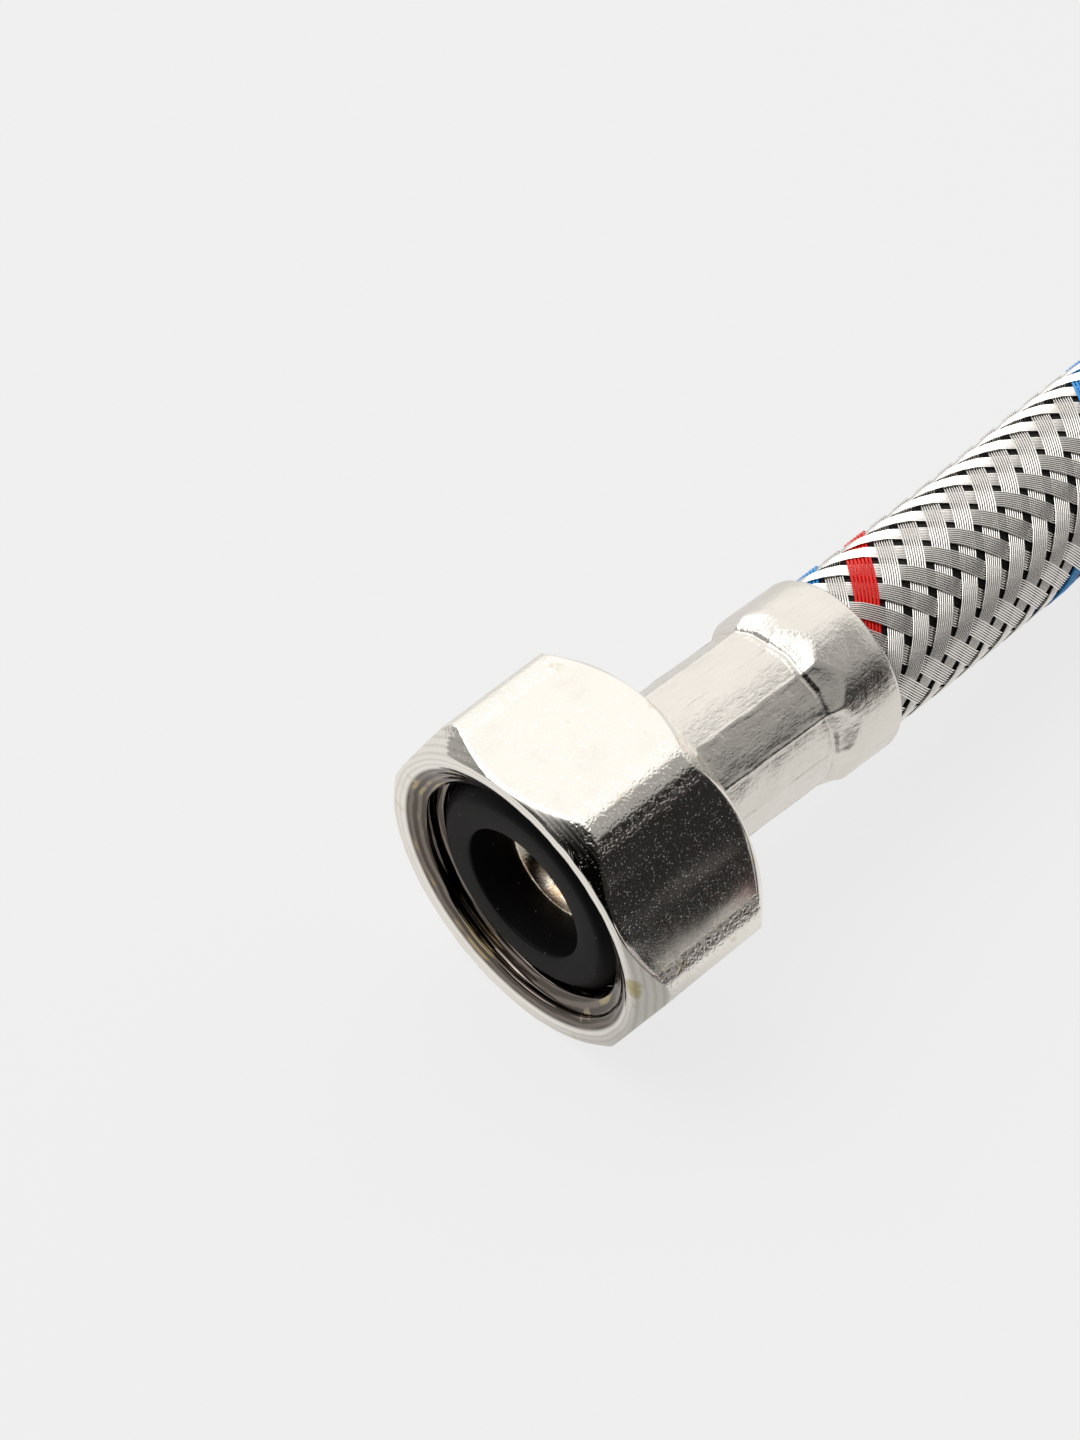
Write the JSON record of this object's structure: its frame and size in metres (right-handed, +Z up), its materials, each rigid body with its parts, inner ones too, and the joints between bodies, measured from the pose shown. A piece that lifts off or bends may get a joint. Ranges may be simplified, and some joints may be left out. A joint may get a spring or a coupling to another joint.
{
  "type": "braided supply line",
  "caption": "Flexible braided water supply line with a crimped ferrule and a loose hexagon swivel nut with a flat washer at each end.",
  "frame": {"origin": "on the surface it lies on, under the middle of the near end fitting (nut mouth to ferrule end)", "axes": "+Z up, +X along the near fitting's axis from the nut's mouth towards the hose, +Y across it"},
  "size_m": [0.1719, 0.1649, 0.025],
  "materials": {
    "nickel_plated_brass_nut": "polished nickel plate",
    "washer_rubber": "matt black",
    "nickel_plated_brass_nipple": "dull nickel plate over brass",
    "ferrule_steel": "satin stainless steel",
    "tube_rubber": "matt black",
    "braid_wire": "bright drawn wire"
  },
  "bodies": {
    "hose": {"near_nipple": "nickel_plated_brass_nipple", "near_ferrule": "ferrule_steel", "rubber_tube": "tube_rubber", "braid_sleeve": "braid_wire", "far_nipple": "nickel_plated_brass_nipple", "far_ferrule": "ferrule_steel"},
    "near_nut": {"near_swivel_nut": "nickel_plated_brass_nut"},
    "near_gasket": {"near_washer": "washer_rubber"},
    "far_nut": {"far_swivel_nut": "nickel_plated_brass_nut"},
    "far_gasket": {"far_washer": "washer_rubber"}
  },
  "joints": [
    {"name": "near_nut_swivel", "type": "hinge", "parent": "hose", "child": "near_nut", "pos_m": [-0.0101, 0, 0.0125], "axis": [1, 0, 0], "continuous": true},
    {"name": "near_washer_removal", "type": "slide", "parent": "hose", "child": "near_gasket", "axis": [-1, 0, 0], "range_m": [0, 0.012]},
    {"name": "far_nut_swivel", "type": "hinge", "parent": "hose", "child": "far_nut", "pos_m": [-0.0256, -0.09529, 0.0125], "axis": [-0.6993, 0.7148, 0], "continuous": true},
    {"name": "far_washer_removal", "type": "slide", "parent": "hose", "child": "far_gasket", "axis": [-0.6993, 0.7148, 0], "range_m": [0, 0.012]}
  ]
}
